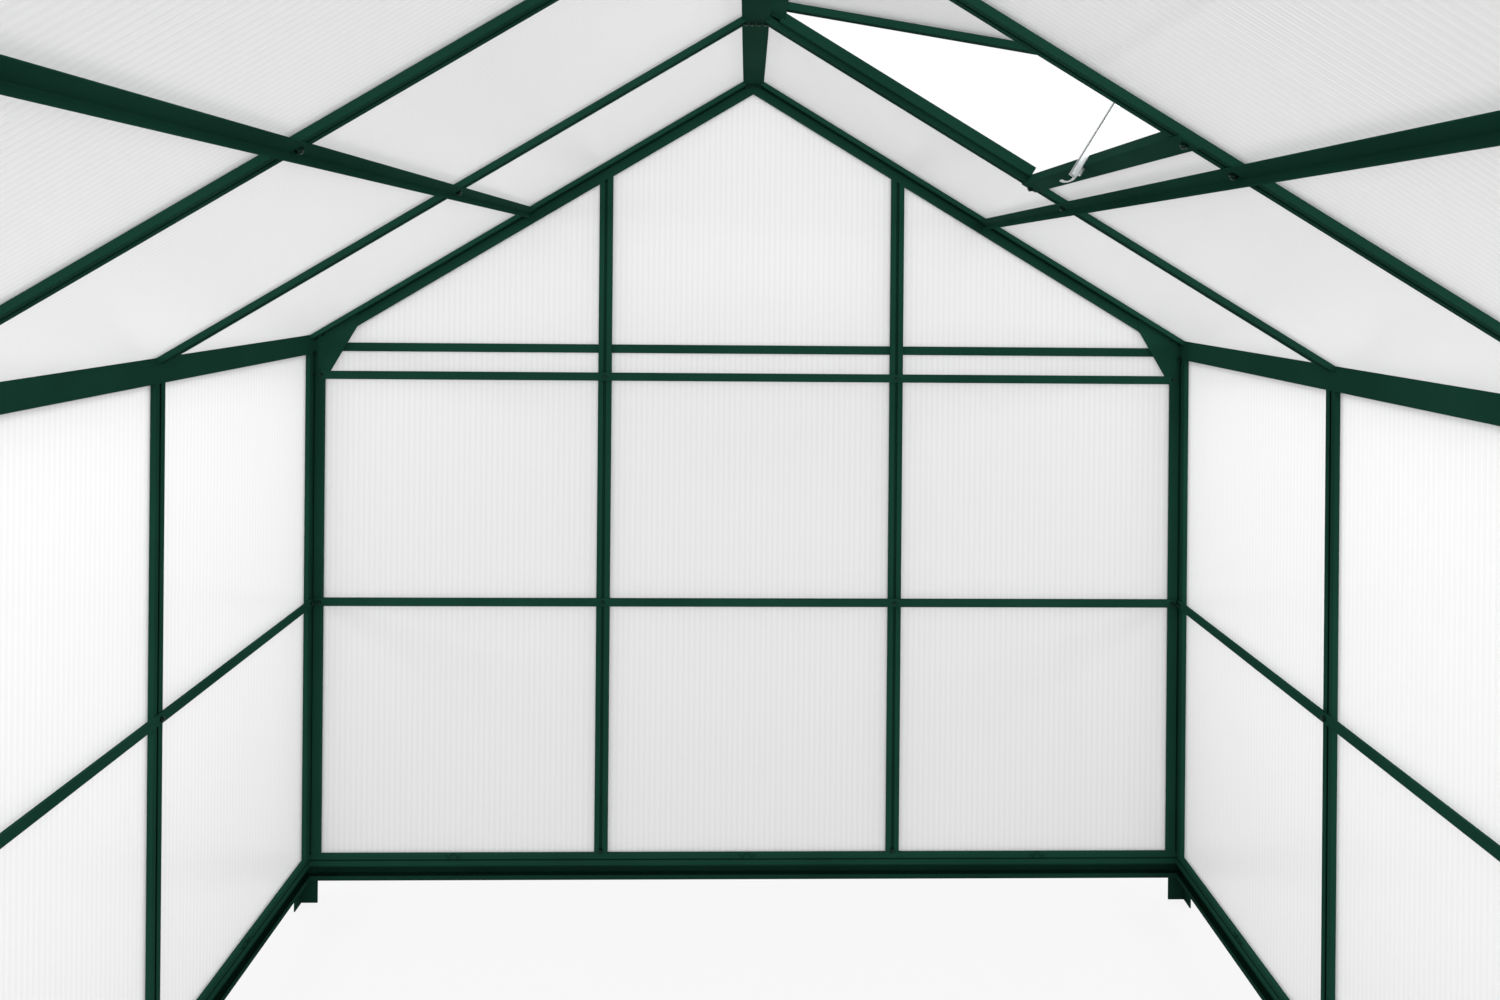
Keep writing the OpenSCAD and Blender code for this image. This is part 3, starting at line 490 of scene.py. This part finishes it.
UP = Vector((0, 0, 1))
left_up = Vector((-up_slope.x, 0, up_slope.z))
left_out = Vector((-roof_out.x, 0, roof_out.z))
vent_low, vent_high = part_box("vent_sheet")
sash_fall = math.atan2(vent_high.z - vent_low.z - SHEET_THICKNESS, vent_high.x - vent_low.x)
sash_up = Vector((-math.cos(sash_fall), 0, math.sin(sash_fall)))
sash_out = Vector((math.sin(sash_fall), 0, math.cos(sash_fall)))
SHEETS = {
    "back_wall_sheets": (Vector((0, 1, 0)), UP),
    "back_gable_sheets": (Vector((0, 1, 0)), UP),
    "front_wall_sheets": (Vector((0, -1, 0)), UP),
    "front_gable_sheets": (Vector((0, -1, 0)), UP),
    "left_wall_sheets": (Vector((-1, 0, 0)), UP),
    "right_wall_sheets": (Vector((1, 0, 0)), UP),
    "left_roof_sheets": (left_out, left_up),
    "right_roof_sheets": (roof_out, up_slope),
    "vent_sheet": (sash_out, sash_up),
    "door_sheets": (Vector((0, -1, 0)), UP),
}
for name, (outwards, along) in SHEETS.items():
    piece = fluted_sheets(name, outwards, along)
    print(piece.name, "faces", len(piece.data.polygons))

# %% [markdown]
# ## Dark zinc
# Kit greenhouses go together with square-headed bolts that slide in the slots of the bars, so only the
# nut and the end of the bolt show, on the inside. They are zinc-plated steel with a dark green
# passivation, the colour of the frame.

# %% Dark zinc
DARK_ZINC_GLOSS = (0.35, 0.5)


def dark_zinc_steel():
    """Green-passivated zinc: a dark metal with a cloudy gloss."""
    material, tree, output = new_material("dark_zinc_steel")
    cloud = noise_of_size(tree, ZINC_STREAK, 2.0)
    metal = add_node(tree, "ShaderNodeBsdfPrincipled", {
        "Base Color": linear("#1b3329"), "Roughness": gloss_from(tree, cloud, DARK_ZINC_GLOSS),
        "Metallic": 1.0})
    tree.links.new(metal.outputs["BSDF"], output.inputs["Surface"])
    return material


dark_zinc = dark_zinc_steel()
print("made", dark_zinc.name)

# %% [markdown]
# ## Nuts and rivets
# A nut sits at every crossing of a rail, girt or purlin with a bar, on the gussets and at the feet of the
# mullions and studs. No two are tightened to the same angle. Rivets hold the bars to the ridge.

# %% Nuts and bolt ends
NUT_SIDES = 6
ROUND_SIDES = 16
WIRE_SIDES = 8
NUT_FLATS = 8 * MM
NUT_HEIGHT = 4 * MM
NUT_CHAMFER = 0.8 * MM
NUT_TURN = 0.7
BOLT_RADIUS = 2.5 * MM
BOLT_END = 5.5 * MM
BOLT_CHAMFER = 0.6 * MM
RIVET_RADIUS = 3.5 * MM
RIVET_HEIGHT = 4 * MM
RIVET_SHOULDER = 0.7
RIVET_CROWN = 0.6


class SmallParts:
    """Collects small solids of revolution and wires in one mesh."""

    def __init__(self):
        self.verts, self.faces, self.count = [], [], 0

    def ring(self, centre, across, aside, radius, sides, turn=0.0):
        for k in range(sides):
            angle = turn + 2 * math.pi * k / sides
            self.verts.append(centre + (across * math.cos(angle) + aside * math.sin(angle)) * radius)

    def join(self, start, sides):
        """Faces between all rings from a start on, and a cap at both ends."""
        last = len(self.verts) - sides
        for ring in range(start, last, sides):
            for k in range(sides):
                a, b = ring + k, ring + (k + 1) % sides
                self.faces.append((a, b, b + sides, a + sides))
        self.faces.append(tuple(range(start + sides - 1, start - 1, -1)))
        self.faces.append(tuple(range(last, last + sides)))

    def turned(self, foot, axis, sides, profile, turn=0.0):
        """A closed solid along an axis: rings of a height and a radius, with so many sides."""
        across = axis.orthogonal().normalized()
        start = len(self.verts)
        for height, radius in profile:
            self.ring(foot + axis * height, across, axis.cross(across), radius, sides, turn)
        self.join(start, sides)

    def nut(self, foot, axis):
        """A hexagon nut, chamfered on top, with the bolt's end standing out of it."""
        corner = NUT_FLATS / math.sqrt(3)
        top = NUT_HEIGHT - NUT_CHAMFER
        self.turned(foot, axis, NUT_SIDES, [
            (0, corner), (top, corner), (NUT_HEIGHT, corner - NUT_CHAMFER)], NUT_TURN * self.count)
        self.turned(foot, axis, ROUND_SIDES, [
            (top, BOLT_RADIUS), (BOLT_END - BOLT_CHAMFER, BOLT_RADIUS),
            (BOLT_END, BOLT_RADIUS - BOLT_CHAMFER)])
        self.count += 1

    def rivet(self, foot, axis):
        """The low round head of a rivet."""
        self.turned(foot, axis, ROUND_SIDES, [
            (0, RIVET_RADIUS), (RIVET_HEIGHT * RIVET_SHOULDER, RIVET_RADIUS),
            (RIVET_HEIGHT, RIVET_RADIUS * RIVET_CROWN)])
        self.count += 1

    def wire(self, path, radius):
        """A bent wire: one ring of points at every bend, capped at both ends."""
        start = len(self.verts)
        flat = (path[1] - path[0]).cross(path[2] - path[1]).normalized()
        for k, point in enumerate(path):
            run = (path[min(k + 1, len(path) - 1)] - path[max(k - 1, 0)]).normalized()
            aside = run.cross(flat).normalized()
            self.ring(point, aside, run.cross(aside), radius, WIRE_SIDES)
        self.join(start, WIRE_SIDES)
        self.count += 1

    def finish(self, name, material):
        add_piece(name, [v[:] for v in self.verts], self.faces, material)
        print(name, "holds", self.count)


PURLIN_SHARE = {1: 0.468, -1: 0.496}
PURLIN_THICKNESS = 1.8 * MM
GUSSET_THICKNESS = 2 * MM
VENT_SILL_MIDDLE = 563 * MM
END_INSET = 8 * MM
GUSSET_NUTS = ((13 * MM, -36 * MM), (-4 * MM, 7 * MM))
FOOT_NUT_RISE = 6 * MM
HANGER_NUT_RISE = 10 * MM
RIDGE_RIVETS = (-15 * MM, -5 * MM, 5 * MM, 15 * MM)
RIDGE_END_INSET = 20 * MM

roof_low, roof_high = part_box("right_roof_sheets")
sheet_foot_x = roof_high.x - SHEET_THICKNESS * math.sin(ROOF_PITCH)
eave_z = roof_low.z + (sheet_foot_x - wall_x) * math.tan(ROOF_PITCH)
slope_length = wall_x / math.cos(ROOF_PITCH)
rail_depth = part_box("back_rails")[1].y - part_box("back_rails")[0].y
rail_end_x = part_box("back_rails")[1].x - END_INSET
girt_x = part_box("side_girts")[1].x - rail_depth
girt_ends = [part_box("side_girts")[0].y + END_INSET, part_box("side_girts")[1].y - END_INSET]
sill_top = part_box("sills_gable")[1].z
bar_x = wall_x - bar_depth


def on_slope(side, y, along, depth):
    """A point at a run up the right (1) or left (-1) slope and a depth under its sheets."""
    x = wall_x - along * math.cos(ROOF_PITCH) - depth * math.sin(ROOF_PITCH)
    z = eave_z + along * math.sin(ROOF_PITCH) - depth * math.cos(ROOF_PITCH)
    return Vector((side * x, y, z))


nuts = SmallParts()
purlin_face = bar_depth + PURLIN_THICKNESS
for face, inwards in ((back_y, -1), (front_y, 1)):
    axis = Vector((0, inwards, 0))
    for x in (-rail_end_x, -mullion_x, mullion_x, rail_end_x):
        for z in (mid_rail_z, collar_z):
            nuts.nut(Vector((x, face + inwards * rail_face, z)), axis)
    for side in (1, -1):
        plate = face + inwards * (bar_depth + GUSSET_THICKNESS)
        for past_rail, past_eave in GUSSET_NUTS:
            nuts.nut(Vector((side * (rail_end_x + past_rail), plate, eave_z + past_eave)), axis)
        foot = Vector((side * mullion_x, face + inwards * bar_depth, sill_top + FOOT_NUT_RISE))
        nuts.nut(foot, axis)
for side in (1, -1):
    axis = Vector((-side, 0, 0))
    down = Vector((-side * roof_out.x, 0, -roof_out.z))
    for y in bar_lines + girt_ends:
        nuts.nut(Vector((side * girt_x, y, mid_rail_z)), axis)
    for y in bar_lines:
        nuts.nut(Vector((side * bar_x, y, sill_top + FOOT_NUT_RISE)), axis)
        nuts.nut(on_slope(side, y, slope_length * PURLIN_SHARE[side], purlin_face), down)
for y in bar_lines + [back_y - RIDGE_END_INSET, front_y + RIDGE_END_INSET]:
    for x in RIDGE_RIVETS:
        nuts.rivet(Vector((x, y, ridge_low)), Vector((0, 0, -1)))
for y in bar_lines[:2]:
    nuts.nut(on_slope(1, y, VENT_SILL_MIDDLE, purlin_face), -roof_out)
for points in loose_solids("door_hangers"):
    low, high = points.min(axis=0), points.max(axis=0)
    foot = Vector(((low[0] + high[0]) / 2, low[1], low[2] + HANGER_NUT_RISE))
    nuts.nut(foot, Vector((0, -1, 0)))
nuts.finish("frame_nuts", dark_zinc)

# %% [markdown]
# ## Clips and peg
# Small spring clips of green wire on the sill press the foot of each sheet into its seat. The window stay
# drops over a zinc peg on the vent's sill.

# %% Sill clips and stay peg
CLIP_WIRE = 0.9 * MM
CLIP_BENDS = ((-17, -1), (-9, -9), (-2, 2.5), (2, 2.5), (9, -9), (17, -1))
PEG_RADIUS = 2.5 * MM
PEG_LENGTH = 12 * MM
PEG_CHAMFER = 1 * MM
PEG_ASIDE = 4 * MM
PEG_UP_SLOPE = 9 * MM

clips = SmallParts()
for face, inwards in ((back_y, -1), (front_y, 1)):
    for x in (-bay, 0, bay) if inwards < 0 else (-bay, bay):
        clips.wire([Vector((x + u * MM, face + inwards * (bar_depth + CLIP_WIRE), sill_top + v * MM))
                    for u, v in CLIP_BENDS], CLIP_WIRE)
for side in (1, -1):
    for k in range(SIDE_BAYS):
        y = back_y - (k + 0.5) * bay
        clips.wire([Vector((side * (bar_x - CLIP_WIRE), y + u * MM, sill_top + v * MM))
                    for u, v in CLIP_BENDS], CLIP_WIRE)
clips.finish("sill_clips", green_steel)

peg = SmallParts()
stay_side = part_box("vent_stay")[1].y
peg_foot = on_slope(1, stay_side + PEG_ASIDE, VENT_SILL_MIDDLE + PEG_UP_SLOPE, purlin_face)
peg.turned(peg_foot, -roof_out, ROUND_SIDES, [
    (0, PEG_RADIUS), (PEG_LENGTH - PEG_CHAMFER, PEG_RADIUS), (PEG_LENGTH, PEG_RADIUS - PEG_CHAMFER)])
peg.count = 1
peg.finish("stay_peg", bright_zinc)

# %% [markdown]
# ## Shims in the mitres
# The two rafters of a gable meet at the peak in a mitre, with a hair of play between them for the heat of
# summer. A thin painted shim fills it, so that no light shows. It copies the section that the CAD rafter
# has at the cut, once on each side of the gap, and closes the rim between the two.

# %% Mitre shims
SHIM_REACH = 0.5 * MM
SHIM_PLAY = 0.02 * MM


def mitre_shim(node, verts, faces):
    """Adds a thin solid with the section of a pair of rafters, which fills the gap of their mitre."""
    mesh = bmesh.new()
    mesh.from_mesh(nodes[node].data)
    bmesh.ops.remove_doubles(mesh, verts=mesh.verts, dist=WELD_DISTANCE)
    section = [f for f in mesh.faces if all(0 < v.co.x < SHIM_REACH for v in f.verts)]
    corners = sorted({v for f in section for v in f.verts}, key=lambda v: v.index)
    half_gap = min(v.co.x for v in corners) - SHIM_PLAY
    left = {v: len(verts) + k for k, v in enumerate(corners)}
    right = {v: len(verts) + len(corners) + k for k, v in enumerate(corners)}
    for x in (-half_gap, half_gap):
        verts.extend((x, v.co.y, v.co.z) for v in corners)
    for face in section:
        faces.append([left[v] for v in face.verts])
        faces.append([right[v] for v in reversed(face.verts)])
        for loop in face.loops:
            if sum(f in section for f in loop.edge.link_faces) == 1:
                a, b = loop.vert, loop.link_loop_next.vert
                faces.append([left[b], left[a], right[a], right[b]])
    mesh.free()


shim_verts, shim_faces = [], []
for name in ("back_rafters", "front_rafters"):
    mitre_shim(name, shim_verts, shim_faces)
add_piece("mitre_shims", shim_verts, shim_faces, green_aluminium)
print("mitre shims:", len(shim_verts), "corners", len(shim_faces), "faces")

# %% [markdown]
# ## Floor, world and lamps
# The house stands on a plain pale floor under soft light. The world looks white to the camera, to
# reflections and through the sheets, and lights the rest at a plain level. Two large soft lamps, one
# overhead and one outside the doorway, give the bars a lit side and a shaded side. A strip light outside
# each side wall and a softbox behind each back corner make the upper and outer sheets a little brighter
# than the rest, as the sky does round a house that stands in the open.

# %% Floor, world and lamps
FLOOR_SIZE = 60.0
FLOOR_WHITENESS = 0.88


def background_rays(tree):
    """1 for the rays that show the background: from the camera, in a gloss and through a sheet."""
    path = add_node(tree, "ShaderNodeLightPath")
    camera_or_gloss = add_node(tree, "ShaderNodeMath", {
        0: path.outputs["Is Camera Ray"], 1: path.outputs["Is Glossy Ray"]}, operation="MAXIMUM")
    shown = add_node(tree, "ShaderNodeMath", {
        0: camera_or_gloss.outputs["Value"], 1: path.outputs["Is Transmission Ray"]},
        operation="MAXIMUM")
    return shown.outputs["Value"]


def studio_floor():
    """A pale matt floor that keeps a light shadow and looks nearly white as a background."""
    material, tree, output = new_material("pale_studio_floor")
    matt = add_node(tree, "ShaderNodeBsdfDiffuse", {"Color": linear("#c0c0c0")})
    white = add_node(tree, "ShaderNodeEmission", {"Color": linear("#ffffff"), "Strength": 1.0})
    seen = add_node(tree, "ShaderNodeMath", {
        0: background_rays(tree), 1: FLOOR_WHITENESS}, operation="MULTIPLY")
    floor = add_node(tree, "ShaderNodeMixShader", {
        0: seen.outputs["Value"], 1: matt.outputs["BSDF"], 2: white.outputs["Emission"]})
    tree.links.new(floor.outputs["Shader"], output.inputs["Surface"])
    return material


floor_mesh = bpy.data.meshes.new("studio_floor")
half = FLOOR_SIZE / 2
floor_corners = [(-half, -half, 0), (half, -half, 0), (half, half, 0), (-half, half, 0)]
floor_mesh.from_pydata(floor_corners, [], [(0, 1, 2, 3)])
floor_mesh.materials.append(studio_floor())
floor = bpy.data.objects.new("studio_floor", floor_mesh)
bpy.context.scene.collection.objects.link(floor)

HORIZON_LEVEL = 0.97
ZENITH_LEVEL = 0.35
world = bpy.data.worlds.new("white_studio")
world.use_nodes = True
world.node_tree.nodes.clear()
direction = add_node(world.node_tree, "ShaderNodeTexCoord")
height = add_node(world.node_tree, "ShaderNodeSeparateXYZ", {0: direction.outputs["Generated"]})
glow = add_node(world.node_tree, "ShaderNodeMapRange", {
    "Value": height.outputs["Z"], "To Min": HORIZON_LEVEL, "To Max": ZENITH_LEVEL})
level = add_node(world.node_tree, "ShaderNodeMix", {
    "Factor": background_rays(world.node_tree), "A": glow.outputs["Result"], "B": 1.0})
sky = add_node(world.node_tree, "ShaderNodeBackground", {
    "Color": linear("#ffffff"), "Strength": level.outputs["Result"]})
add_node(world.node_tree, "ShaderNodeOutputWorld", {"Surface": sky.outputs["Background"]})
bpy.context.scene.world = world


def soft_lamp(name, place, target, width, height, power):
    """A large soft lamp that faces a point."""
    data = bpy.data.lights.new(name, "AREA")
    data.shape = "RECTANGLE"
    data.size = width
    data.size_y = height
    data.energy = power
    lamp = bpy.data.objects.new(name, data)
    lamp.location = place
    lamp.rotation_euler = (Vector(target) - Vector(place)).to_track_quat("-Z", "Y").to_euler()
    lamp.visible_camera = False
    bpy.context.scene.collection.objects.link(lamp)


soft_lamp("overhead_softbox", place=(-1.5, -0.5, 5.0), target=(0, 0, 0.8),
          width=4.0, height=4.0, power=28)
soft_lamp("doorway_softbox", place=(0.6, -4.5, 2.2), target=(0, 0, 0.9),
          width=2.5, height=2.5, power=105)
soft_lamp("left_strip_light", place=(-2.2, 0.3, 1.3), target=(0, 0.3, 1.1),
          width=2.4, height=0.5, power=17)
soft_lamp("right_strip_light", place=(2.2, 0.3, 1.3), target=(0, 0.3, 1.1),
          width=2.4, height=0.5, power=18)
soft_lamp("back_left_softbox", place=(-1.1, 2.4, 1.5), target=(-0.8, 1.25, 0.95),
          width=0.8, height=0.6, power=3)
soft_lamp("back_right_softbox", place=(1.1, 2.4, 1.5), target=(0.8, 1.25, 0.95),
          width=0.8, height=0.6, power=3)

# %% [markdown]
# ## Finish
# The renderer shows colours as they are written with the Standard view.

# %% Finish
bpy.context.scene.view_settings.view_transform = "Standard"
